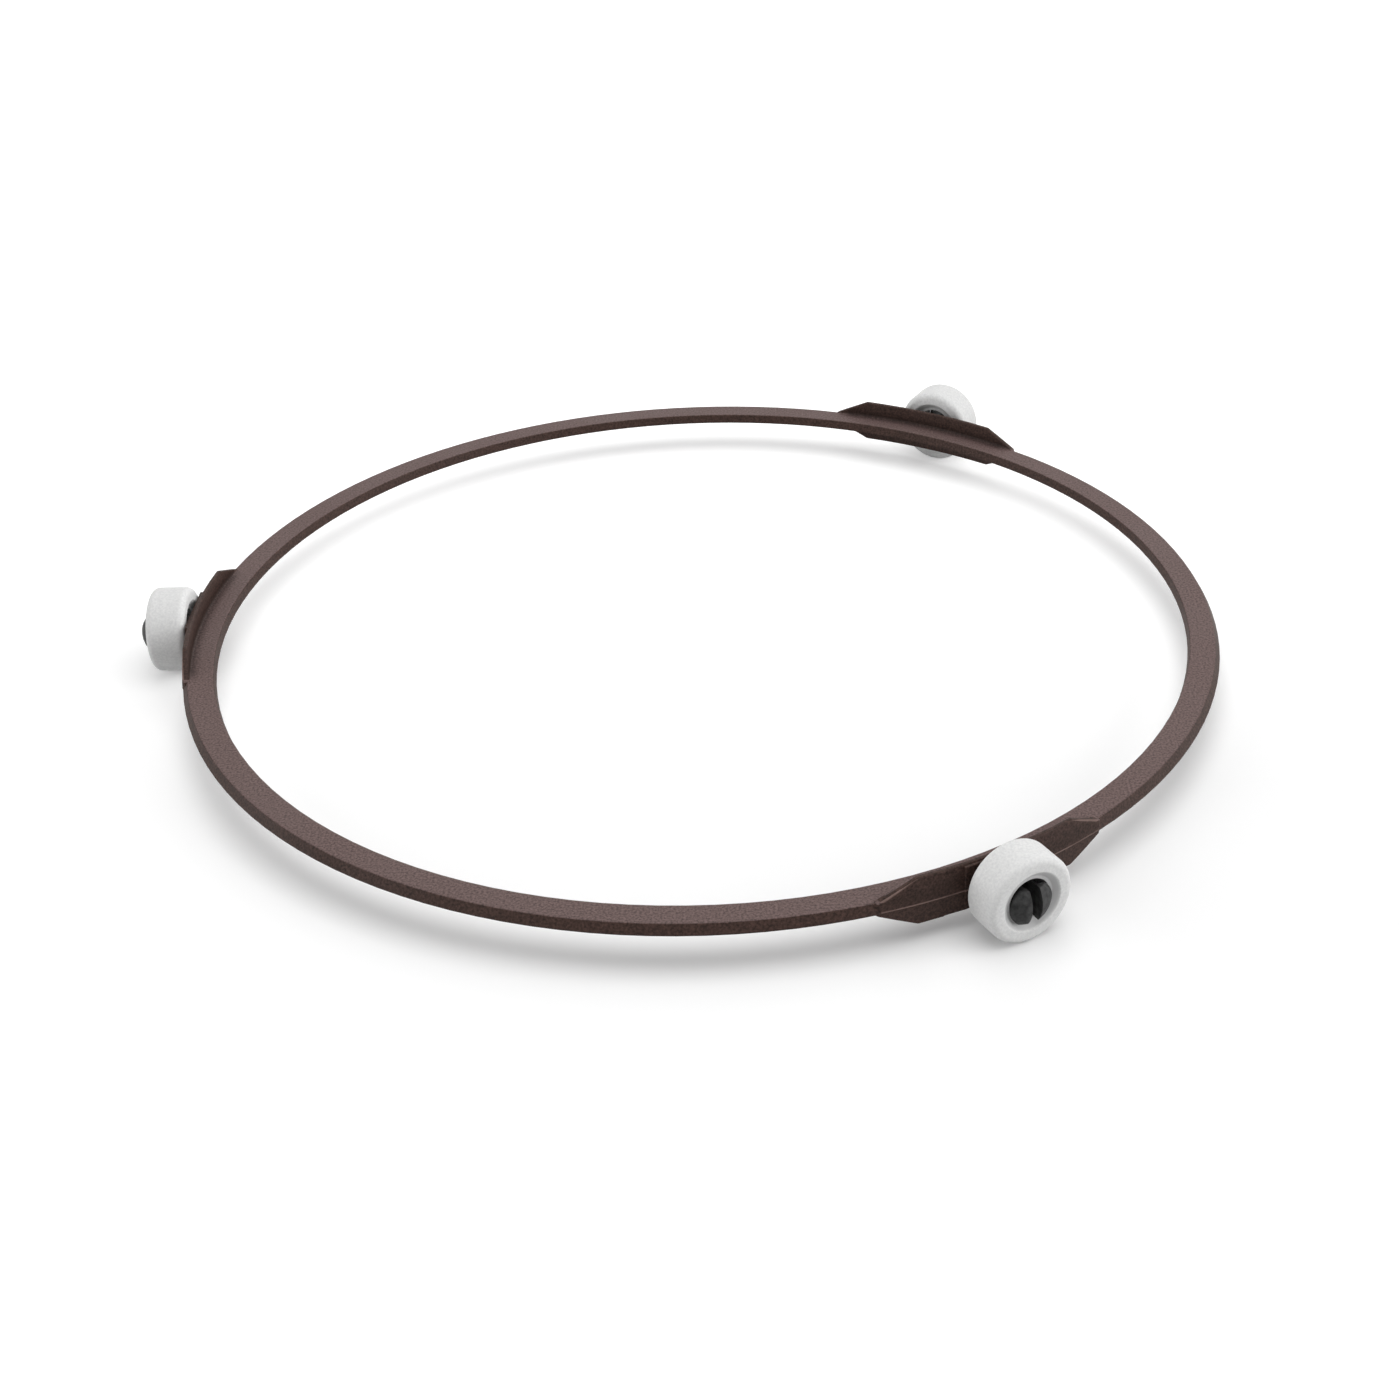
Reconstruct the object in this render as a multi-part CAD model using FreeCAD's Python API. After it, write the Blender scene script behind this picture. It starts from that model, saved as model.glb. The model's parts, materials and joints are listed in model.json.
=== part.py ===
"""Microwave roller ring: one moulded ring that carries three free-running rollers.

Lengths are millimetres and angles are degrees. Z is up and is the ring's own axis,
and Z = 0 is the oven floor that the rollers run on. Each pad, pin and roller is made
on the +X side and then turned to its place around the ring.
"""
import FreeCAD, Part
import math
import os

from FreeCAD import Vector

# Ring: a flat band whose sides lean out down to the mould line, the way it leaves its mould
ring_outer_radius = 100.0
band_width = 4.85
ring_height = 1.9
band_below_line = 0.35
outer_lean = 0.95
inner_lean = 0.4
under_lean = 0.05
ring_edge_round = 0.3

# Pads: upright arc walls on the ring's outer side, with sloping ends
pad_angles = (-60.0, 60.0, 180.0)
pad_length = 45.2
pad_full_length = 31.0
pad_above_pin = 1.75
pad_below_pin = 0.95
pad_proud = 0.05
pad_wall = 1.4
pad_top_lean = 0.5
pad_lean = 0.1
pad_foot_round = 0.5
pad_corner_round = 1.0
pad_edge_round = 0.3

# Mould line: a low ridge where the two halves of the mould met on each pad
mould_line_height = 0.1
mould_line_width = 0.3

# Seat: the flat on each pad that the roller's inner face runs against
seat_length = 14.4
seat_proud = 0.15
seat_margin = 0.3
seat_edge_round = 0.2

# Pins: split stubs with barbed heads, sprung through the rollers
pin_radius = 3.25
slot_width = 2.0
slot_root = 1.0
barb_hook = 0.25
head_land = 0.4
dome_height = 1.8

# Rollers: turned alike on both faces, so that either face may go on first
roller_radius = 8.2
roller_width = 7.5
roller_edge_round = 1.25
dish_depth = 0.95
dish_room = 0.45
dish_flare = 1.15
dish_round = 0.2
bore_edge_round = 0.2

# Running clearances, and how far out from the middle of its play each roller has come to rest
pin_clearance = 0.6
pin_rest_gap = 0.1
end_play = 1.6
roller_slides = (0.55, 0.5, -0.55)

# Heights: the pins rest in the bottom of the bores, and the mould parts at the pins' middle
bore_radius = pin_radius + pin_clearance
pin_drop = pin_clearance - pin_rest_gap
axle_z = roller_radius
pin_z = axle_z - pin_drop
ring_bottom_z = pin_z - band_below_line
ring_top_z = ring_bottom_z + ring_height
pad_top_z = pin_z + pin_radius + pad_above_pin
pad_bottom_z = pin_z - pin_radius - pad_below_pin
widest_z = ring_bottom_z + ring_height / 2

# Half lengths of a pad: along its full height, along the band's top, and along the band's bottom,
# where the lower slopes are as steep as the upper ones
pad_shoulder = pad_full_length / 2
pad_end = pad_length / 2
pad_slope = (pad_end - pad_shoulder) / (pad_top_z - ring_top_z)
pad_lower_end = pad_shoulder + pad_slope * (ring_bottom_z - pad_bottom_z)

# Distances from the ring's axis
ring_inner_radius = ring_outer_radius - band_width
band_outer = ring_outer_radius + outer_lean
band_inner = ring_inner_radius - inner_lean
wall_outer = band_outer + pad_proud
wall_inner = wall_outer - pad_wall
wall_middle = wall_outer - pad_wall / 2
seat_x = math.sqrt(wall_outer**2 - (seat_length / 2) ** 2) + seat_proud
roller_inner_x = seat_x + end_play / 2
roller_outer_x = roller_inner_x + roller_width
head_x = seat_x + roller_width - dish_depth + end_play
dome_x = head_x + head_land
tip_x = dome_x + dome_height

# Roller's dish, with room round the head
barb_radius = bore_radius + barb_hook
dish_floor_radius = barb_radius + dish_room
dish_mouth_radius = dish_floor_radius + dish_flare

# Rounds, each held to a share of the wall that it is on
round_share = 0.4
rim_round = min(pad_edge_round, round_share * (pad_wall - pad_top_lean - pad_lean))
tread_round = min(roller_edge_round, 2 * round_share * (roller_radius - dish_mouth_radius))

# Spare reach of cutting shapes past what they cut
overshoot = 1.0


def rounded_outline(corners, place):
    """Closed wire through corners (a, b, round), where place(a, b) is a point in space."""
    points = [Vector(a, b, 0) for a, b, _ in corners]
    spans = []
    for index, (_, _, round_radius) in enumerate(corners):
        here = points[index]
        to_last = (points[index - 1] - here).normalize()
        to_next = (points[(index + 1) % len(points)] - here).normalize()
        half_angle = to_last.getAngle(to_next) / 2
        setback = round_radius / math.tan(half_angle)
        inward = (to_last + to_next).normalize()
        sagitta = round_radius / math.sin(half_angle) - round_radius
        spans.append([here + to_last * setback, here + inward * sagitta, here + to_next * setback])
    edges = []
    for index, (first, middle, last) in enumerate(spans):
        following = spans[(index + 1) % len(spans)][0]
        first, middle, last, following = (place(p.x, p.y) for p in (first, middle, last, following))
        if corners[index][2] > 0:
            edges.append(Part.Arc(first, middle, last).toShape())
        edges.append(Part.LineSegment(last, following).toShape())
    return Part.Wire(edges)


def in_section(radius, z):
    """Point of the ring's section, on the +X side."""
    return Vector(radius, 0, z)


def turned_to(shape, angle):
    """Copy of a shape, turned about the ring's axis."""
    return shape.rotated(Vector(0, 0, 0), Vector(0, 0, 1), angle)


def make_band():
    """The ring's flat band, turned from its section."""
    section = rounded_outline(
        [
            (band_inner, pin_z, 0),
            (band_inner + under_lean, ring_bottom_z, 0),
            (band_outer - under_lean, ring_bottom_z, 0),
            (band_outer, pin_z, 0),
            (ring_outer_radius, ring_top_z, ring_edge_round),
            (ring_inner_radius, ring_top_z, ring_edge_round),
        ],
        in_section,
    )
    return Part.Face(section).revolve(Vector(0, 0, 0), Vector(0, 0, 1), 360)


def make_pad_outline():
    """Block with the pad's outline as seen from outside: full height in the middle, sloping ends."""
    outline = rounded_outline(
        [
            (-pad_lower_end, ring_bottom_z, 0),
            (-pad_shoulder, pad_bottom_z, pad_corner_round),
            (pad_shoulder, pad_bottom_z, pad_corner_round),
            (pad_lower_end, ring_bottom_z, 0),
            (pad_end, ring_top_z, 0),
            (pad_shoulder, pad_top_z, pad_corner_round),
            (-pad_shoulder, pad_top_z, pad_corner_round),
            (-pad_end, ring_top_z, 0),
        ],
        lambda y, z: Vector(0, y, z),
    )
    return Part.Face(outline).extrude(Vector(tip_x, 0, 0))


def make_pad_plan():
    """Block with the pad's outline as seen from above: bevels bring its ends in to the band's upper edge."""
    edge_x = math.sqrt(ring_outer_radius**2 - pad_lower_end**2)
    bevel_end = pad_lower_end - (tip_x - edge_x)
    plan = rounded_outline(
        [
            (0, -pad_lower_end, 0),
            (edge_x, -pad_lower_end, 0),
            (tip_x, -bevel_end, 0),
            (tip_x, bevel_end, 0),
            (edge_x, pad_lower_end, 0),
            (0, pad_lower_end, 0),
        ],
        lambda x, y: Vector(x, y, 0),
    )
    return Part.Face(plan).extrude(Vector(0, 0, pad_top_z + overshoot))


def make_pad_arc(corners):
    """Section of a pad, given by its corners, carried round the pad's length and cut to its outline."""
    half_angle = math.degrees(math.asin((pad_lower_end + overshoot) / wall_inner))
    section = Part.Face(rounded_outline(corners, in_section))
    arc = section.revolve(Vector(0, 0, 0), Vector(0, 0, 1), 2 * half_angle)
    return turned_to(arc, -half_angle).common(make_pad_outline())


def make_wall():
    """The pad's wall, widest at the band and rounded along its rim."""
    wall = make_pad_arc(
        [
            (wall_inner + pad_lean, pad_bottom_z, 0),
            (wall_outer - pad_lean, pad_bottom_z, 0),
            (wall_outer, widest_z, 0),
            (wall_outer - pad_top_lean, pad_top_z, 0),
            (wall_inner + pad_lean, pad_top_z, 0),
            (wall_inner, widest_z, 0),
        ]
    )
    rim = []
    for edge in wall.Edges:
        heading = edge.tangentAt(edge.FirstParameter)
        upright = abs(heading.z) > abs(heading.x) + abs(heading.y)
        straight = isinstance(edge.Curve, Part.Line)
        box = edge.BoundBox
        clear_of_band = box.ZMin < ring_bottom_z - pad_lean or box.ZMax > ring_top_z + pad_lean
        if clear_of_band and not upright and not straight:
            rim.append(edge)
    return wall.makeFillet(rim_round, rim)


def wall_inner_at(z):
    """Radius of the wall's leaning inner face at a height."""
    tip_z = pad_top_z if z > widest_z else pad_bottom_z
    return wall_inner + pad_lean * (z - widest_z) / (tip_z - widest_z)


def make_foot():
    """The rounded corners between the wall's inner face and the band, above and below."""
    reach = pad_foot_round + ring_edge_round
    top_z = ring_top_z + reach
    bottom_z = ring_bottom_z - reach
    return make_pad_arc(
        [
            (wall_middle, bottom_z, 0),
            (wall_middle, top_z, 0),
            (wall_inner_at(top_z), top_z, 0),
            (wall_inner_at(ring_top_z), ring_top_z, pad_foot_round),
            (wall_inner - reach, ring_top_z, 0),
            (wall_inner - reach, ring_bottom_z, 0),
            (wall_inner_at(ring_bottom_z), ring_bottom_z, pad_foot_round),
            (wall_inner_at(bottom_z), bottom_z, 0),
        ]
    )


def make_mould_line():
    """The low ridge along the wall's outer face."""
    return make_pad_arc(
        [
            (wall_middle, pin_z - mould_line_width / 2, 0),
            (wall_outer, pin_z - mould_line_width / 2, 0),
            (wall_outer + mould_line_height, pin_z, 0),
            (wall_outer, pin_z + mould_line_width / 2, 0),
            (wall_middle, pin_z + mould_line_width / 2, 0),
        ]
    )


def make_seat():
    """The low flat block on the wall's outer face, rounded round its front."""
    height = pad_top_z - pad_bottom_z - 2 * seat_margin
    corner = Vector(wall_inner, -seat_length / 2, pad_bottom_z + seat_margin)
    block = Part.makeBox(seat_x - wall_inner, seat_length, height, corner)
    front = [edge for edge in block.Edges if edge.BoundBox.XMin > wall_middle]
    inside_wall = Part.makeCylinder(wall_middle - pad_top_lean / 2, pad_top_z)
    return block.makeFillet(seat_edge_round, front).cut(inside_wall)


def make_pad():
    """One pad: its wall with the foot, the mould line and the seat."""
    wall = make_wall().fuse([make_foot(), make_mould_line()]).common(make_pad_plan())
    bulge = Part.makeBox(tip_x - seat_x, seat_length, pad_top_z, Vector(seat_x, -seat_length / 2, 0))
    return wall.cut(bulge).fuse(make_seat()).removeSplitter()


def make_pin():
    """One split pin: a round shank and a domed, barbed head, slotted so that its legs can close."""
    out = Vector(1, 0, 0)
    shank = Part.makeCylinder(pin_radius, head_x - wall_middle, Vector(wall_middle, 0, pin_z), out)
    dome_radius = (barb_radius**2 + dome_height**2) / (2 * dome_height)
    dome = Part.makeSphere(dome_radius, Vector(tip_x - dome_radius, 0, pin_z))
    head = Part.makeCylinder(barb_radius, tip_x - head_x, Vector(head_x, 0, pin_z), out).common(dome)

    # The head is no taller than the shank, so both draw from the mould up and down.
    as_tall_as_shank = Part.makeBox(
        tip_x,
        2 * barb_radius,
        2 * pin_radius,
        Vector(0, -barb_radius, pin_z - pin_radius),
    )
    pin = shank.fuse(head.common(as_tall_as_shank)).removeSplitter()

    # The slot stands upright and ends in a full round near the seat.
    slot_x = seat_x + slot_root + slot_width / 2
    slot_bottom_z = pin_z - pin_radius - overshoot
    slot_height = 2 * (pin_radius + overshoot)
    slot = Part.makeBox(
        tip_x + overshoot - slot_x,
        slot_width,
        slot_height,
        Vector(slot_x, -slot_width / 2, slot_bottom_z),
    )
    slot_end = Part.makeCylinder(slot_width / 2, slot_height, Vector(slot_x, 0, slot_bottom_z))
    return pin.cut(slot.fuse(slot_end).removeSplitter())


def make_ring():
    """The whole moulding: band, pads and pins in one solid."""
    pad = make_pad().fuse(make_pin()).removeSplitter()
    pads = [turned_to(pad, angle) for angle in pad_angles]
    return make_band().fuse(pads).removeSplitter()


def make_roller():
    """One roller: a round-edged wheel with a bore and a shallow dish in each face."""
    inner_floor_x = roller_inner_x + dish_depth
    outer_floor_x = roller_outer_x - dish_depth
    section = rounded_outline(
        [
            (inner_floor_x, bore_radius, bore_edge_round),
            (outer_floor_x, bore_radius, bore_edge_round),
            (outer_floor_x, dish_floor_radius, dish_round),
            (roller_outer_x, dish_mouth_radius, dish_round),
            (roller_outer_x, roller_radius, tread_round),
            (roller_inner_x, roller_radius, tread_round),
            (roller_inner_x, dish_mouth_radius, dish_round),
            (inner_floor_x, dish_floor_radius, dish_round),
        ],
        lambda x, radius: Vector(x, 0, axle_z + radius),
    )
    return Part.Face(section).revolve(Vector(0, 0, axle_z), Vector(1, 0, 0), 360)


def main():
    """Write the ring and its rollers, one file each."""
    os.makedirs("parts", exist_ok=True)
    nodes = {"ring": make_ring()}
    roller = make_roller()
    for number, (angle, slide) in enumerate(zip(pad_angles, roller_slides), start=1):
        nodes[f"roller_{number}"] = turned_to(roller.translated(Vector(slide, 0, 0)), angle)
    for name, shape in nodes.items():
        shape.exportStep(f"parts/{name}.step")
        print(name, "solids", len(shape.Solids), "valid", shape.isValid(), "volume", round(shape.Volume, 2))


main()
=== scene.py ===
"""Looks and stage of the microwave roller ring.

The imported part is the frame: one brown moulding that carries three white rollers. This script
gives each of them its finish, lays the floor and sets the lamps and the camera. Lengths are
metres, unless a name ends in _mm, and angles are degrees.
"""

import json
import logging
import math
from dataclasses import dataclass, field
from enum import Enum

import bpy
import numpy as np
from mathutils import Matrix, Vector

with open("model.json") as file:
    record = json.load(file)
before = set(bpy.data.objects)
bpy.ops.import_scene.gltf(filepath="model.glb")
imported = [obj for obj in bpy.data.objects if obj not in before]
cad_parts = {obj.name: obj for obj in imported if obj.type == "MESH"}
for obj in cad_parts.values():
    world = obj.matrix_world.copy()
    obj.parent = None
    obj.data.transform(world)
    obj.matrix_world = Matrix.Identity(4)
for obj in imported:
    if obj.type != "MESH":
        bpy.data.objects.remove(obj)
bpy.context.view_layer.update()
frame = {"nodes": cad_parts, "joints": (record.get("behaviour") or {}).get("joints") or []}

log = logging.getLogger("roller_ring")

MM = 0.001
RIGHT_ANGLE = 90.0

# The sRGB curve: a straight foot, and above it a power of the shifted level.
FULL_LEVEL = 255
FOOT_END = 0.04045
FOOT_SLOPE = 12.92
CURVE_SHIFT = 0.055
CURVE_POWER = 2.4


class Slot(Enum):
    """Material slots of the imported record."""

    BROWN = "brown_plastic"
    WHITE = "white_plastic"


def linear(hex_colour: str) -> tuple[float, float, float, float]:
    """Turns an sRGB colour into the linear values that shaders take.

    Args:
        hex_colour: The colour as "#RRGGBB".

    Returns:
        Red, green, blue and a full alpha.
    """
    levels = np.array([int(hex_colour[i : i + 2], 16) for i in (1, 3, 5)]) / FULL_LEVEL
    curved = ((levels + CURVE_SHIFT) / (1 + CURVE_SHIFT)) ** CURVE_POWER
    values = np.where(levels <= FOOT_END, levels / FOOT_SLOPE, curved)
    return (*values.tolist(), 1.0)


def add_node(
    tree: bpy.types.NodeTree,
    kind: str,
    inputs: dict[str | int, object] | None = None,
    **settings: object,
) -> bpy.types.Node:
    """Adds a node with its settings, and fills or links its inputs.

    Args:
        tree: The tree that takes the node.
        kind: Blender's name for the kind of node.
        inputs: A value or another node's output for each input, by name or number.
        **settings: The node's own properties.

    Returns:
        The new node.
    """
    node = tree.nodes.new(kind)
    for name, value in settings.items():
        setattr(node, name, value)
    for name, value in (inputs or {}).items():
        if isinstance(value, bpy.types.NodeSocket):
            tree.links.new(value, node.inputs[name])
        else:
            node.inputs[name].default_value = value
    return node


def empty_material(name: str) -> tuple[bpy.types.Material, bpy.types.NodeTree]:
    """Makes a material whose tree has no nodes yet.

    Args:
        name: The material's name.

    Returns:
        The material and its node tree.
    """
    material = bpy.data.materials.new(name)
    material.use_nodes = True
    material.node_tree.nodes.clear()
    return material, material.node_tree


def seen_share(tree: bpy.types.NodeTree) -> bpy.types.NodeSocket:
    """Tells the rays that see a surface, straight or mirrored, from those that only carry its light.

    Args:
        tree: The tree that takes the nodes.

    Returns:
        1 for the rays that see, and 0 for the others.
    """
    path = add_node(tree, "ShaderNodeLightPath").outputs
    mirrored = add_node(
        tree,
        "ShaderNodeMath",
        {0: path["Is Glossy Ray"], 1: path["Is Transmission Ray"]},
        operation="ADD",
    )
    return add_node(
        tree,
        "ShaderNodeMath",
        {0: path["Is Camera Ray"], 1: mirrored.outputs["Value"]},
        operation="ADD",
    ).outputs["Value"]


def wear(node: bpy.types.Object, material: bpy.types.Material) -> None:
    """Puts a material on every slot of a node.

    Args:
        node: The part that takes the finish.
        material: The finish.
    """
    for slot in node.material_slots:
        slot.material = material


@dataclass(frozen=True)
class Mottle:
    """A cloudy pattern: noise of a real size, whose middle is stretched to run from 0 to 1."""

    size_mm: float
    layers: float
    layer_strength: float
    low: float
    high: float

    def noise(self, place: bpy.types.NodeSocket) -> dict[str, object]:
        """Lists what the noise takes in.

        Args:
            place: Object coordinates.

        Returns:
            The inputs by name.
        """
        return {
            "Vector": place,
            "Scale": 1 / (self.size_mm * MM),
            "Detail": self.layers,
            "Roughness": self.layer_strength,
        }

    def stretch(self, noise: bpy.types.NodeSocket) -> dict[str, object]:
        """Lists what the map that stretches the noise takes in.

        Args:
            noise: The noise.

        Returns:
            The inputs by name.
        """
        return {"Value": noise, "From Min": self.low, "From Max": self.high}


@dataclass(frozen=True)
class PadOutline:
    """The upright outline of a pad, unrolled along the ring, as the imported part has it."""

    pads: int = 3
    first_pad: float = -60.0
    half_full_mm: float = 15.5
    half_length_mm: float = 22.6
    top_mm: float = 12.7
    band_top_mm: float = 9.25
    foot_mm: float = 99.6
    radius_mm: float = 101.0
    mould_line_mm: float = 7.7

    def top(self, tree: bpy.types.NodeTree, place: bpy.types.NodeSocket) -> bpy.types.NodeSocket:
        """Works out the pad's top: level along its middle, sloping down to the band at its ends.

        Args:
            tree: The tree that takes the nodes.
            place: Object coordinates.

        Returns:
            The height of the pad's top edge there, in metres.
        """
        parts = add_node(tree, "ShaderNodeSeparateXYZ", {"Vector": place}).outputs
        turn = add_node(tree, "ShaderNodeMath", {0: parts["Y"], 1: parts["X"]}, operation="ARCTAN2")
        from_pad = add_node(
            tree,
            "ShaderNodeMath",
            {0: turn.outputs["Value"], 1: math.radians(self.first_pad)},
            operation="SUBTRACT",
        )
        folded = add_node(
            tree,
            "ShaderNodeMath",
            {0: from_pad.outputs["Value"], 1: math.pi / self.pads},
            operation="PINGPONG",
        )
        return add_node(
            tree,
            "ShaderNodeMapRange",
            {
                "Value": folded.outputs["Value"],
                "From Min": self.half_full_mm / self.radius_mm,
                "From Max": self.half_length_mm / self.radius_mm,
                "To Min": self.top_mm * MM,
                "To Max": self.band_top_mm * MM,
            },
        ).outputs["Result"]


@dataclass(frozen=True)
class RingSpot:
    """Where a point of the ring's surface lies, as sockets that the finish's masks read."""

    place: bpy.types.NodeSocket
    reach: bpy.types.NodeSocket
    height: bpy.types.NodeSocket
    pad_top: bpy.types.NodeSocket


@dataclass(frozen=True)
class BrownMoulding:
    """Brown PBT polyester from a spark-eroded mould: matte, with a fine even grain and a little haze."""

    name: str = "brown_pbt_moulded"
    dark: str = "#251A16"
    light: str = "#4B3832"
    # Grain colours of the band's top under painted light.
    painted_lit_top_dark: str = "#483B39"
    painted_lit_top_light: str = "#74605D"
    # The pale colour of the painted highlight on rims and ridge.
    painted_edge_highlight: str = "#78635D"
    # The dark colour of the painted shade in the pads' corners.
    painted_corner_shade: str = "#1C110D"
    rubbed_dark: str = "#262626"
    rubbed_light: str = "#434343"
    ior: float = 1.57
    mirror: float = 0.12
    smooth: float = 0.5
    rough: float = 0.6
    # The mould's real grain is about 0.1 mm. It is drawn coarser, so that it shows in the render.
    grain: Mottle = Mottle(size_mm=0.42, layers=2.0, layer_strength=0.6, low=0.3, high=0.7)
    grain_depth_mm: float = 0.03
    grain_relief: float = 0.6
    haze: Mottle = Mottle(size_mm=22.0, layers=3.0, layer_strength=0.5, low=0.3, high=0.7)
    # Painted light pales the band's top, by the upward share of its normal, so that the top reads lighter
    # than its sides.
    # The pads' rims, which stand higher, are left out.
    top_light_from: float = 0.6
    top_light_to: float = 0.95
    top_light_height_mm: float = 0.3
    # The pins are greyed by the rollers that rub on them, from just beyond their seats.
    rubbed_from_mm: float = 101.3
    rubbed_to_mm: float = 102.0
    scuffs: Mottle = Mottle(size_mm=1.3, layers=3.0, layer_strength=0.6, low=0.35, high=0.65)
    # Painted highlight pales the outer edge of the pads' rims, and the fine ridge that the mould's joint
    # leaves below it, where they catch the light.
    # Both are painted in patches, and nowhere less than the least share.
    highlight_edge_mm: float = 0.28
    highlight_from_mm: float = 100.5
    ridge_from_mm: float = 100.97
    ridge_to_mm: float = 101.05
    ridge_half_mm: float = 0.2
    patches: Mottle = Mottle(size_mm=4.0, layers=3.0, layer_strength=0.6, low=0.35, high=0.6)
    least_highlight: float = 0.5
    # Painted shade darkens the corner where a pad stands up from the band. The light grains take less of it.
    corner_shade_strength: float = 0.85
    corner_shade_on_light: float = 0.6
    corner_shade_reach_mm: float = 2.3
    corner_shade_ends_mm: float = 1.5
    pad: PadOutline = field(default_factory=PadOutline)

    def spot(self, tree: bpy.types.NodeTree, place: bpy.types.NodeSocket) -> RingSpot:
        """Works out where a point of the surface lies.

        Args:
            tree: The tree that takes the nodes.
            place: Object coordinates.

        Returns:
            The place, its distance from the ring's axis, its height and the height of the pad's top there.
        """
        flat = add_node(tree, "ShaderNodeVectorMath", {0: place, 1: (1.0, 1.0, 0.0)}, operation="MULTIPLY")
        reach = add_node(tree, "ShaderNodeVectorMath", {0: flat.outputs["Vector"]}, operation="LENGTH")
        parts = add_node(tree, "ShaderNodeSeparateXYZ", {"Vector": place})
        return RingSpot(
            place=place,
            reach=reach.outputs["Value"],
            height=parts.outputs["Z"],
            pad_top=self.pad.top(tree, place),
        )

    def painted_edge_highlights(self, tree: bpy.types.NodeTree, spot: RingSpot) -> bpy.types.NodeSocket:
        """Finds the outer edge of the pads' rims and the mould's ridge, in patches, where the painted
        highlight goes.

        Args:
            tree: The tree that takes the nodes.
            spot: Where the point lies.

        Returns:
            How much painted highlight the point takes, from 0 to 1.
        """
        below = add_node(
            tree,
            "ShaderNodeMath",
            {0: spot.pad_top, 1: spot.height},
            operation="SUBTRACT",
        )
        rim = add_node(
            tree,
            "ShaderNodeMapRange",
            {
                "Value": below.outputs["Value"],
                "From Max": self.highlight_edge_mm * MM,
                "To Min": 1.0,
                "To Max": 0.0,
            },
        )
        outer_edge = add_node(
            tree,
            "ShaderNodeMath",
            {0: spot.reach, 1: self.highlight_from_mm * MM},
            operation="GREATER_THAN",
        )
        above_band = add_node(
            tree,
            "ShaderNodeMath",
            {0: spot.height, 1: (self.pad.band_top_mm + self.highlight_edge_mm) * MM},
            operation="GREATER_THAN",
        )
        proud = add_node(
            tree,
            "ShaderNodeMapRange",
            {
                "Value": spot.reach,
                "From Min": self.ridge_from_mm * MM,
                "From Max": self.ridge_to_mm * MM,
            },
        )
        at_joint = add_node(
            tree,
            "ShaderNodeMath",
            {0: spot.height, 1: self.pad.mould_line_mm * MM, 2: self.ridge_half_mm * MM},
            operation="COMPARE",
        )
        patches = add_node(tree, "ShaderNodeTexNoise", self.patches.noise(spot.place))
        patchy = add_node(
            tree,
            "ShaderNodeMapRange",
            {**self.patches.stretch(patches.outputs["Fac"]), "To Min": self.least_highlight},
        )
        rims = add_node(
            tree,
            "ShaderNodeMath",
            {0: rim.outputs["Result"], 1: outer_edge.outputs["Value"]},
            operation="MULTIPLY",
        )
        rims_above = add_node(
            tree,
            "ShaderNodeMath",
            {0: rims.outputs["Value"], 1: above_band.outputs["Value"]},
            operation="MULTIPLY",
        )
        ridges = add_node(
            tree,
            "ShaderNodeMath",
            {0: proud.outputs["Result"], 1: at_joint.outputs["Value"]},
            operation="MULTIPLY",
        )
        both = add_node(
            tree,
            "ShaderNodeMath",
            {0: rims_above.outputs["Value"], 1: ridges.outputs["Value"]},
            operation="MAXIMUM",
        )
        return add_node(
            tree,
            "ShaderNodeMath",
            {0: both.outputs["Value"], 1: patchy.outputs["Result"]},
            operation="MULTIPLY",
        ).outputs["Value"]

    def painted_corner_shading(
        self,
        tree: bpy.types.NodeTree,
        spot: RingSpot,
        speckle: bpy.types.NodeSocket,
    ) -> bpy.types.NodeSocket:
        """Finds the corners between the pads and the band, for painted shade that is darkest in the corner
        and fades out round it.

        Args:
            tree: The tree that takes the nodes.
            spot: Where the point lies.
            speckle: A fine grain from 0 to 1, which breaks the painted shade up.

        Returns:
            How much painted shade the point takes, from 0 to 1.
        """
        section = add_node(tree, "ShaderNodeCombineXYZ", {"X": spot.reach, "Y": spot.height})
        corner = (self.pad.foot_mm * MM, self.pad.band_top_mm * MM, 0.0)
        apart = add_node(
            tree,
            "ShaderNodeVectorMath",
            {0: section.outputs["Vector"], 1: corner},
            operation="DISTANCE",
        )
        near = add_node(
            tree,
            "ShaderNodeMapRange",
            {
                "Value": apart.outputs["Value"],
                "From Max": self.corner_shade_reach_mm * MM,
                "To Min": self.corner_shade_strength,
                "To Max": 0.0,
            },
            interpolation_type="SMOOTHSTEP",
        )
        beside_pad = add_node(
            tree,
            "ShaderNodeMapRange",
            {
                "Value": spot.pad_top,
                "From Min": self.pad.band_top_mm * MM,
                "From Max": (self.pad.band_top_mm + self.corner_shade_ends_mm) * MM,
            },
        )
        broken = add_node(
            tree,
            "ShaderNodeMapRange",
            {"Value": speckle, "To Min": 1.0, "To Max": self.corner_shade_on_light},
        )
        shaded_beside_pad = add_node(
            tree,
            "ShaderNodeMath",
            {0: near.outputs["Result"], 1: beside_pad.outputs["Result"]},
            operation="MULTIPLY",
        )
        return add_node(
            tree,
            "ShaderNodeMath",
            {0: shaded_beside_pad.outputs["Value"], 1: broken.outputs["Result"]},
            operation="MULTIPLY",
        ).outputs["Value"]

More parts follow.
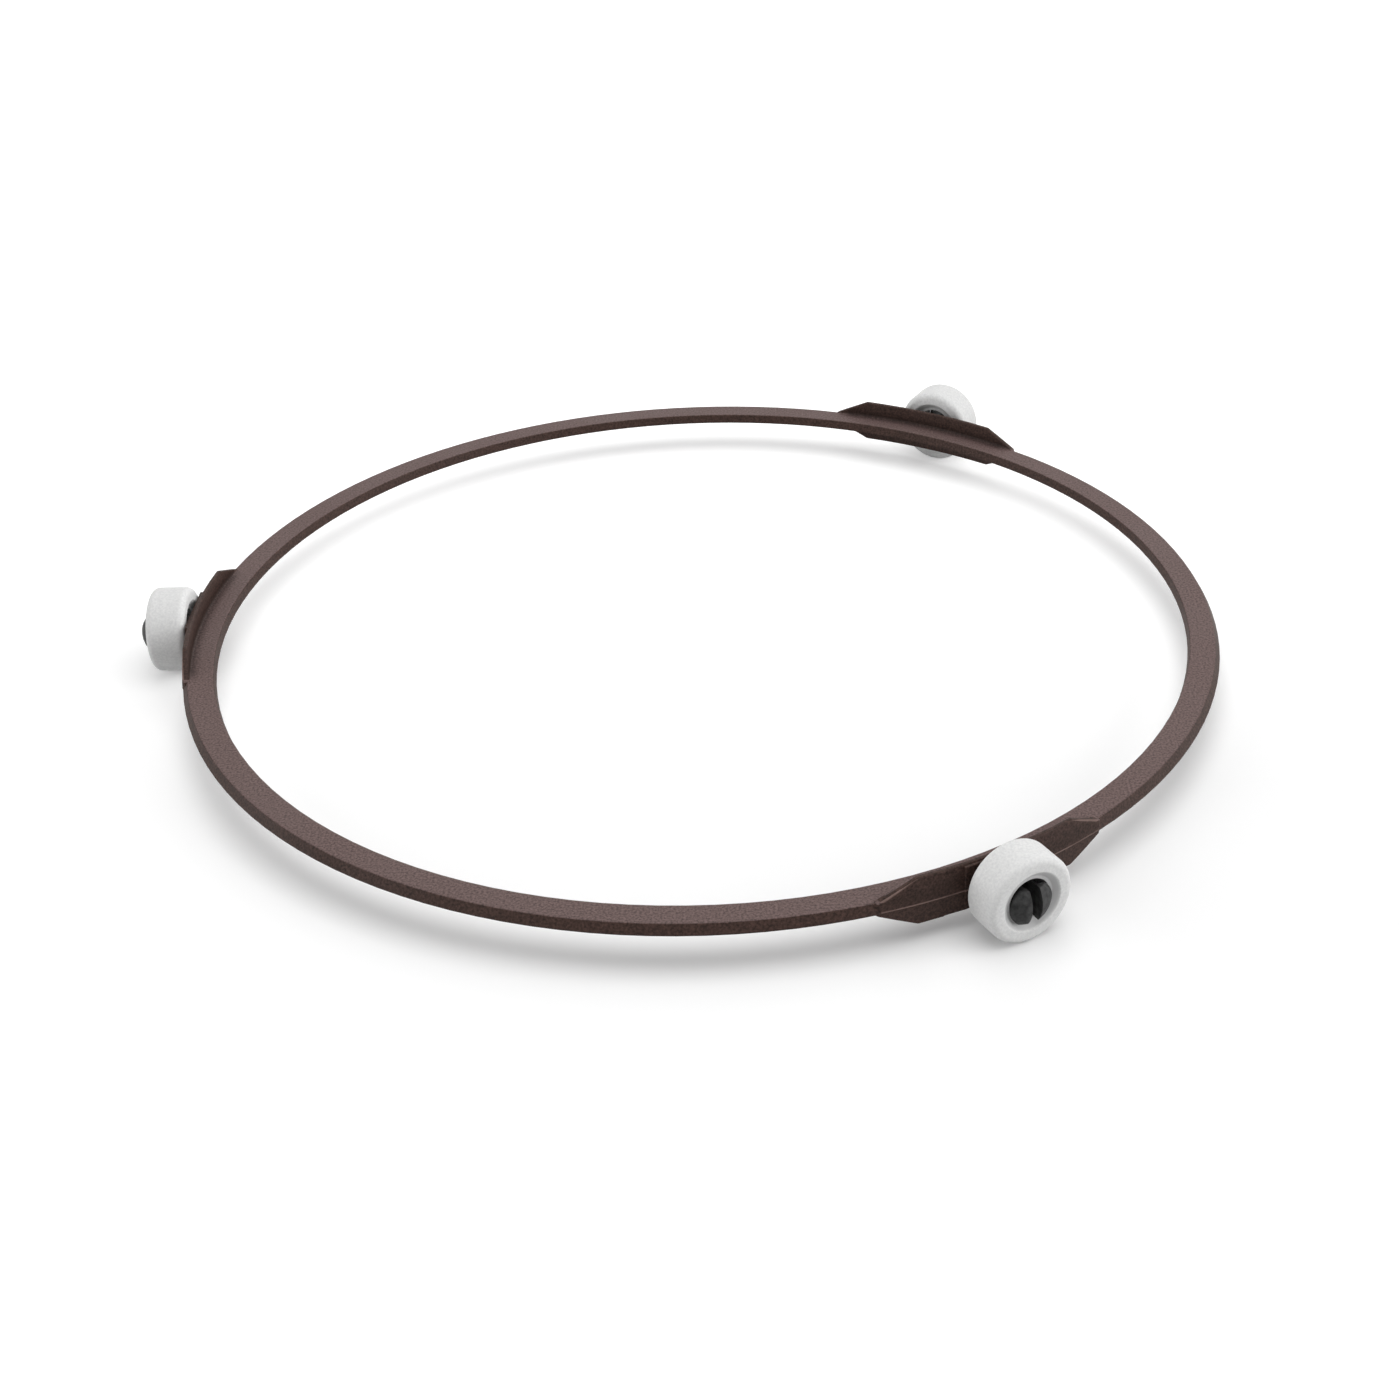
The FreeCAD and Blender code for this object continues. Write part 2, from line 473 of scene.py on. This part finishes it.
    def plastic_colour(
        self,
        tree: bpy.types.NodeTree,
        spot: RingSpot,
        upward: bpy.types.NodeSocket,
        speckle: bpy.types.NodeSocket,
    ) -> bpy.types.NodeSocket:
        """Colours the band and the pads: grained, with painted light on top, painted highlights at edges and
        painted shade in corners.

        Args:
            tree: The tree that takes the nodes.
            spot: Where the point lies.
            upward: The upward share of the surface's normal.
            speckle: A fine grain from 0 to 1.

        Returns:
            The colour.
        """
        bare = add_node(
            tree,
            "ShaderNodeMix",
            {"Factor": speckle, "A": linear(self.dark), "B": linear(self.light)},
            data_type="RGBA",
        )
        # Painted light: the band's top is made lighter than its sides.
        painted_lit_top = add_node(
            tree,
            "ShaderNodeMix",
            {"Factor": speckle, "A": linear(self.painted_lit_top_dark), "B": linear(self.painted_lit_top_light)},
            data_type="RGBA",
        )
        level = add_node(
            tree,
            "ShaderNodeMapRange",
            {"Value": upward, "From Min": self.top_light_from, "From Max": self.top_light_to},
        )
        on_band = add_node(
            tree,
            "ShaderNodeMath",
            {0: spot.height, 1: (self.pad.band_top_mm + self.top_light_height_mm) * MM},
            operation="LESS_THAN",
        )
        top_light_share = add_node(
            tree,
            "ShaderNodeMath",
            {0: level.outputs["Result"], 1: on_band.outputs["Value"]},
            operation="MULTIPLY",
        )
        body = add_node(
            tree,
            "ShaderNodeMix",
            {"Factor": top_light_share.outputs["Value"], "A": bare.outputs["Result"], "B": painted_lit_top.outputs["Result"]},
            data_type="RGBA",
        )
        # Painted highlight on the rims' outer edges and the mould's ridge.
        painted_edge_highlight = add_node(
            tree,
            "ShaderNodeMix",
            {
                "Factor": self.painted_edge_highlights(tree, spot),
                "A": body.outputs["Result"],
                "B": linear(self.painted_edge_highlight),
            },
            data_type="RGBA",
        )
        # Painted shade in the corners where the pads meet the band.
        return add_node(
            tree,
            "ShaderNodeMix",
            {
                "Factor": self.painted_corner_shading(tree, spot, speckle),
                "A": painted_edge_highlight.outputs["Result"],
                "B": linear(self.painted_corner_shade),
            },
            data_type="RGBA",
        ).outputs["Result"]

    def pin_colour(self, tree: bpy.types.NodeTree, spot: RingSpot) -> bpy.types.NodeSocket:
        """Colours the pins: grey, with scuffs.

        Args:
            tree: The tree that takes the nodes.
            spot: Where the point lies.

        Returns:
            The colour.
        """
        scuffs = add_node(tree, "ShaderNodeTexNoise", self.scuffs.noise(spot.place))
        scuffed = add_node(tree, "ShaderNodeMapRange", self.scuffs.stretch(scuffs.outputs["Fac"]))
        return add_node(
            tree,
            "ShaderNodeMix",
            {
                "Factor": scuffed.outputs["Result"],
                "A": linear(self.rubbed_dark),
                "B": linear(self.rubbed_light),
            },
            data_type="RGBA",
        ).outputs["Result"]

    def material(self) -> bpy.types.Material:
        """Builds the node tree.

        Returns:
            The finished material.
        """
        material, tree = empty_material(self.name)
        coordinates = add_node(tree, "ShaderNodeTexCoord").outputs
        spot = self.spot(tree, coordinates["Object"])
        upward = add_node(tree, "ShaderNodeSeparateXYZ", {"Vector": coordinates["Normal"]}).outputs["Z"]
        grain = add_node(tree, "ShaderNodeTexNoise", self.grain.noise(spot.place)).outputs["Fac"]
        speckle = add_node(tree, "ShaderNodeMapRange", self.grain.stretch(grain)).outputs["Result"]
        greying = add_node(
            tree,
            "ShaderNodeMapRange",
            {
                "Value": spot.reach,
                "From Min": self.rubbed_from_mm * MM,
                "From Max": self.rubbed_to_mm * MM,
            },
        )
        colour = add_node(
            tree,
            "ShaderNodeMix",
            {
                "Factor": greying.outputs["Result"],
                "A": self.plastic_colour(tree, spot, upward, speckle),
                "B": self.pin_colour(tree, spot),
            },
            data_type="RGBA",
        )
        haze = add_node(tree, "ShaderNodeTexNoise", self.haze.noise(spot.place)).outputs["Fac"]
        gloss = add_node(
            tree,
            "ShaderNodeMapRange",
            {**self.haze.stretch(haze), "To Min": self.smooth, "To Max": self.rough},
        )
        relief = add_node(
            tree,
            "ShaderNodeBump",
            {"Height": grain, "Strength": self.grain_relief, "Distance": self.grain_depth_mm * MM},
        )
        shader = add_node(
            tree,
            "ShaderNodeBsdfPrincipled",
            {
                "Base Color": colour.outputs["Result"],
                "Roughness": gloss.outputs["Result"],
                "IOR": self.ior,
                "Specular IOR Level": self.mirror,
                "Normal": relief.outputs["Normal"],
            },
        )
        add_node(tree, "ShaderNodeOutputMaterial", {"Surface": shader.outputs["BSDF"]})
        return material


@dataclass(frozen=True)
class WhiteRoller:
    """White PTFE, pressed and sintered: waxy, faintly cloudy and a little see-through at its edges."""

    name: str = "white_ptfe_sintered"
    dark: str = "#D1D1D1"
    light: str = "#E2E2E1"
    # The grey of the painted shade in the outer dish.
    greying: str = "#C4C4C4"
    ior: float = 1.38
    roughness: float = 0.5
    # Light spreads alike in red, green and blue below the surface.
    see_through: float = 0.4
    see_through_mm: float = 0.6
    see_through_shares: tuple[float, float, float] = (1.0, 1.0, 1.0)
    # The pressed powder's real grain is about 0.05 mm. It is drawn coarser, so that it shows in the render.
    grain: Mottle = Mottle(size_mm=0.45, layers=3.0, layer_strength=0.6, low=0.3, high=0.7)
    grain_depth_mm: float = 0.02
    grain_relief: float = 0.5
    # Painted shade greys the dish that the pin's head turns in, on the roller's outer side,
    # up to a sharp edge.
    axle_mm: float = 8.2
    first_axle: float = -60.0
    axle_step: float = 120.0
    dish_shade_mm: float = 5.3
    unshaded_mm: float = 5.6
    outer_side_mm: float = 105.5

    def painted_dish_shade(
        self,
        tree: bpy.types.NodeTree,
        place: bpy.types.NodeSocket,
        number: int,
    ) -> bpy.types.NodeSocket:
        """Finds the outer dish and its end of the bore, by their distance from the roller's axle, for
        painted shade.

        Args:
            tree: The tree that takes the nodes.
            place: Object coordinates.
            number: Which roller it is for.

        Returns:
            1 in the outer dish and its end of the bore, and 0 elsewhere.
        """
        turn = math.radians(self.first_axle + (number - 1) * self.axle_step)
        centred = add_node(
            tree,
            "ShaderNodeMapping",
            {"Vector": place, "Location": (0.0, 0.0, -self.axle_mm * MM), "Rotation": (0.0, 0.0, -turn)},
        )
        across = add_node(
            tree,
            "ShaderNodeVectorMath",
            {0: centred.outputs["Vector"], 1: (0.0, 1.0, 1.0)},
            operation="MULTIPLY",
        )
        apart = add_node(tree, "ShaderNodeVectorMath", {0: across.outputs["Vector"]}, operation="LENGTH")
        inside = add_node(
            tree,
            "ShaderNodeMapRange",
            {
                "Value": apart.outputs["Value"],
                "From Min": self.dish_shade_mm * MM,
                "From Max": self.unshaded_mm * MM,
                "To Min": 1.0,
                "To Max": 0.0,
            },
        )
        along = add_node(tree, "ShaderNodeSeparateXYZ", {"Vector": centred.outputs["Vector"]}).outputs["X"]
        outer_side = add_node(
            tree,
            "ShaderNodeMath",
            {0: along, 1: self.outer_side_mm * MM},
            operation="GREATER_THAN",
        )
        return add_node(
            tree,
            "ShaderNodeMath",
            {0: inside.outputs["Result"], 1: outer_side.outputs["Value"]},
            operation="MULTIPLY",
        ).outputs["Value"]

    def material(self, number: int) -> bpy.types.Material:
        """Builds the node tree.

        Args:
            number: Which roller it is for.

        Returns:
            The finished material.
        """
        material, tree = empty_material(f"{self.name}_{number}")
        place = add_node(tree, "ShaderNodeTexCoord").outputs["Object"]
        grain = add_node(tree, "ShaderNodeTexNoise", self.grain.noise(place)).outputs["Fac"]
        cloud = add_node(tree, "ShaderNodeMapRange", self.grain.stretch(grain)).outputs["Result"]
        body = add_node(
            tree,
            "ShaderNodeMix",
            {"Factor": cloud, "A": linear(self.dark), "B": linear(self.light)},
            data_type="RGBA",
        )
        # Painted shade greys the outer dish.
        colour = add_node(
            tree,
            "ShaderNodeMix",
            {
                "Factor": self.painted_dish_shade(tree, place, number),
                "A": body.outputs["Result"],
                "B": linear(self.greying),
            },
            data_type="RGBA",
        )
        relief = add_node(
            tree,
            "ShaderNodeBump",
            {"Height": grain, "Strength": self.grain_relief, "Distance": self.grain_depth_mm * MM},
        )
        shader = add_node(
            tree,
            "ShaderNodeBsdfPrincipled",
            {
                "Base Color": colour.outputs["Result"],
                "Roughness": self.roughness,
                "IOR": self.ior,
                "Subsurface Weight": self.see_through,
                "Subsurface Radius": self.see_through_shares,
                "Subsurface Scale": self.see_through_mm * MM,
                "Normal": relief.outputs["Normal"],
            },
        )
        add_node(tree, "ShaderNodeOutputMaterial", {"Surface": shader.outputs["BSDF"]})
        return material


@dataclass(frozen=True)
class WhiteBoard:
    """Matte white board, lifted to plain white where it is seen, so that only the shadow shows on it."""

    name: str = "white_board"
    colour: str = "#F7F7F7"
    # What the board throws back onto the object: less than its colour, as from a small board.
    thrown_back: str = "#D4D4D4"
    # The lift makes up for the softbox's fall-off: a little below it, and all that is missing far off.
    lift_below: float = 0.035
    lift_far_off: float = 0.5
    softbox_place: tuple[float, float, float] = (0.1, -0.07, 0.6)
    # A lamp's light on a level floor falls off as this power of 1 plus the squared distance from its
    # foot, counted in its heights.
    falloff_power: float = -2.0
    # The board's glow is raised more behind the object: painted light that weakens its shadows there.
    painted_back_light: float = 0.23
    painted_back_light_from: float = -0.05
    painted_back_light_to: float = 0.06

    def material(self) -> bpy.types.Material:
        """Builds the node tree.

        Returns:
            The finished material.
        """
        material, tree = empty_material(self.name)
        seen = seen_share(tree)
        colour = add_node(
            tree,
            "ShaderNodeMix",
            {"Factor": seen, "A": linear(self.thrown_back), "B": linear(self.colour)},
            data_type="RGBA",
        )
        board = add_node(tree, "ShaderNodeBsdfDiffuse", {"Color": colour.outputs["Result"]})
        place = add_node(tree, "ShaderNodeTexCoord").outputs["Object"]
        across, along, height = self.softbox_place
        from_foot = add_node(
            tree,
            "ShaderNodeVectorMath",
            {0: place, 1: (across, along, 0.0)},
            operation="SUBTRACT",
        ).outputs["Vector"]
        squared = add_node(
            tree,
            "ShaderNodeVectorMath",
            {0: from_foot, 1: from_foot},
            operation="DOT_PRODUCT",
        )
        slant = add_node(
            tree,
            "ShaderNodeMath",
            {0: squared.outputs["Value"], 1: 1 / height**2, 2: 1.0},
            operation="MULTIPLY_ADD",
        )
        falloff = add_node(
            tree,
            "ShaderNodeMath",
            {0: slant.outputs["Value"], 1: self.falloff_power},
            operation="POWER",
        )
        lift = add_node(
            tree,
            "ShaderNodeMapRange",
            {"Value": falloff.outputs["Value"], "To Min": self.lift_far_off, "To Max": self.lift_below},
        )
        # Painted light behind the object, which weakens the shadows there.
        depth = add_node(tree, "ShaderNodeSeparateXYZ", {"Vector": place}).outputs["Y"]
        behind = add_node(
            tree,
            "ShaderNodeMapRange",
            {
                "Value": depth,
                "From Min": self.painted_back_light_from,
                "From Max": self.painted_back_light_to,
                "To Max": self.painted_back_light,
            },
        )
        lifted = add_node(
            tree,
            "ShaderNodeMath",
            {0: lift.outputs["Result"], 1: behind.outputs["Result"]},
            operation="ADD",
        )
        strength = add_node(
            tree,
            "ShaderNodeMath",
            {0: seen, 1: lifted.outputs["Value"]},
            operation="MULTIPLY",
        )
        glow = add_node(tree, "ShaderNodeEmission", {"Strength": strength.outputs["Value"]})
        both = add_node(tree, "ShaderNodeAddShader", {0: board.outputs["BSDF"], 1: glow.outputs["Emission"]})
        add_node(tree, "ShaderNodeOutputMaterial", {"Surface": both.outputs["Shader"]})
        return material


@dataclass
class Moulding:
    """The ring with its pads, seats and split pins, all one piece."""

    node: str = "ring"
    slot: Slot = Slot.BROWN
    finish: BrownMoulding = field(default_factory=BrownMoulding)

    def dress(self) -> bpy.types.Object:
        """Gives the moulding its finish.

        Returns:
            The node's object.
        """
        piece = frame["nodes"][self.node]
        wear(piece, self.finish.material())
        return piece


@dataclass
class Roller:
    """One roller, free to turn on its pin."""

    number: int
    slot: Slot = Slot.WHITE
    finish: WhiteRoller = field(default_factory=WhiteRoller)

    def dress(self) -> bpy.types.Object:
        """Gives the roller its finish.

        Returns:
            The node's object.
        """
        piece = frame["nodes"][f"roller_{self.number}"]
        wear(piece, self.finish.material(self.number))
        return piece


@dataclass(frozen=True)
class Lamp:
    """A soft lamp so far away that it lights the whole floor alike.

    Its level is what a white floor takes from it, where 1 makes white render as white.
    """

    name: str
    level: float
    width: float
    heading: float
    elevation: float

    def build(self) -> bpy.types.Object:
        """Makes the lamp.

        Returns:
            The lamp's object.
        """
        data = bpy.data.lights.new(self.name, "SUN")
        data.energy = math.pi * self.level / math.sin(math.radians(self.elevation))
        data.angle = math.radians(self.width)
        lamp = bpy.data.objects.new(self.name, data)
        turn = Matrix.Rotation(math.radians(self.heading), 4, "Z")
        tip = Matrix.Rotation(math.radians(RIGHT_ANGLE - self.elevation), 4, "X")
        lamp.matrix_world = turn @ tip
        bpy.context.scene.collection.objects.link(lamp)
        return lamp


@dataclass(frozen=True)
class Softbox:
    """A round soft lamp that hangs over the object and faces straight down.

    Its level is what a white floor right below takes from it, where 1 makes white render as white.
    """

    name: str
    level: float
    radius: float
    place: tuple[float, float, float]

    def build(self) -> bpy.types.Object:
        """Makes the lamp.

        Returns:
            The lamp's object.
        """
        data = bpy.data.lights.new(self.name, "AREA")
        data.shape = "DISK"
        data.size = 2 * self.radius
        data.energy = self.level * math.pi**2 * (self.radius**2 + self.place[2] ** 2)
        lamp = bpy.data.objects.new(self.name, data)
        lamp.location = self.place
        lamp.visible_camera = False
        bpy.context.scene.collection.objects.link(lamp)
        return lamp


@dataclass
class Stage:
    """Floor, lamps and the room's own light."""

    half_width: float = 6.0
    board: WhiteBoard = field(default_factory=WhiteBoard)
    # The walls light the object with the room's own light. Where they are seen, a strength of 1 is white.
    walls: str = "#FFFFFF"
    room_light: float = 0.24
    seen_light: float = 1.0
    lamps: tuple[Lamp | Softbox, ...] = (
        Softbox("overhead_softbox", level=0.48, radius=0.34, place=WhiteBoard.softbox_place),
        Lamp("back_lamp", level=0.08, width=40.0, heading=180.0, elevation=42.0),
        Lamp("right_card", level=0.14, width=60.0, heading=80.0, elevation=12.0),
        Lamp("left_card", level=0.09, width=60.0, heading=-80.0, elevation=12.0),
    )

    def build_floor(self) -> bpy.types.Object:
        """Makes the floor, a square at the rollers' feet.

        Returns:
            The floor's object.
        """
        signs = np.array([(-1, -1), (1, -1), (1, 1), (-1, 1)], float)
        corners = np.column_stack([signs * self.half_width, np.zeros(len(signs))])
        mesh = bpy.data.meshes.new("floor")
        mesh.from_pydata(corners.tolist(), [], [list(range(len(signs)))])
        mesh.materials.append(self.board.material())
        floor = bpy.data.objects.new("floor", mesh)
        bpy.context.scene.collection.objects.link(floor)
        return floor

    def build_room(self) -> bpy.types.World:
        """Makes the even light that comes from all round, from walls that are white where they are seen.

        Returns:
            The scene's world.
        """
        world = bpy.data.worlds.new("room")
        world.use_nodes = True
        tree = world.node_tree
        tree.nodes.clear()
        strength = add_node(
            tree,
            "ShaderNodeMapRange",
            {"Value": seen_share(tree), "To Min": self.room_light, "To Max": self.seen_light},
        )
        light = add_node(
            tree,
            "ShaderNodeBackground",
            {"Color": linear(self.walls), "Strength": strength.outputs["Result"]},
        )
        add_node(tree, "ShaderNodeOutputWorld", {"Surface": light.outputs["Background"]})
        bpy.context.scene.world = world
        return world

    def build(self) -> None:
        """Makes the whole stage."""
        self.build_floor()
        self.build_room()
        for lamp in self.lamps:
            lamp.build()
        bpy.context.scene.view_settings.view_transform = "Standard"


@dataclass(frozen=True)
class Viewpoint:
    """The photograph's camera, worked out from where the ring's edges and the pads' corners fall in it."""

    place_mm: tuple[float, float, float] = (14.90, -381.02, 224.97)
    pitch: float = 31.25
    heading: float = 2.24
    side_turn: float = 3.25
    roll: float = -2.26
    lens_mm: float = 56.64
    film_mm: float = 36.0
    # The photograph is cut out of a wider picture, off its middle, so the camera is shifted.
    shift: tuple[float, float] = (-0.0955, -0.0166)
    nearest: float = 0.01
    farthest: float = 100.0

    def build(self) -> bpy.types.Object:
        """Makes the camera and looks through it.

        Returns:
            The camera's object.
        """
        data = bpy.data.cameras.new("camera")
        data.lens = self.lens_mm
        data.sensor_width = self.film_mm
        data.shift_x, data.shift_y = self.shift
        data.clip_start = self.nearest
        data.clip_end = self.farthest
        camera = bpy.data.objects.new("camera", data)
        turns = (
            (self.heading, "Z"),
            (RIGHT_ANGLE - self.pitch, "X"),
            (-self.side_turn, "Y"),
            (self.roll, "Z"),
        )
        facing = Matrix.Identity(4)
        for angle, axis in turns:
            facing = facing @ Matrix.Rotation(math.radians(angle), 4, axis)
        camera.matrix_world = Matrix.Translation(Vector(self.place_mm) * MM) @ facing
        bpy.context.scene.collection.objects.link(camera)
        bpy.context.scene.camera = camera
        return camera


def main() -> None:
    """Builds the scene piece by piece."""
    logging.basicConfig(level=logging.INFO, format="%(message)s")
    Viewpoint().build()
    Stage().build()
    pieces = [Moulding().dress()]
    pieces += [Roller(number).dress() for number in range(1, len(frame["joints"]) + 1)]
    for piece in pieces:
        log.info("%s: %d faces, %s", piece.name, len(piece.data.polygons), piece.active_material.name)


if __name__ == "__main__":
    main()
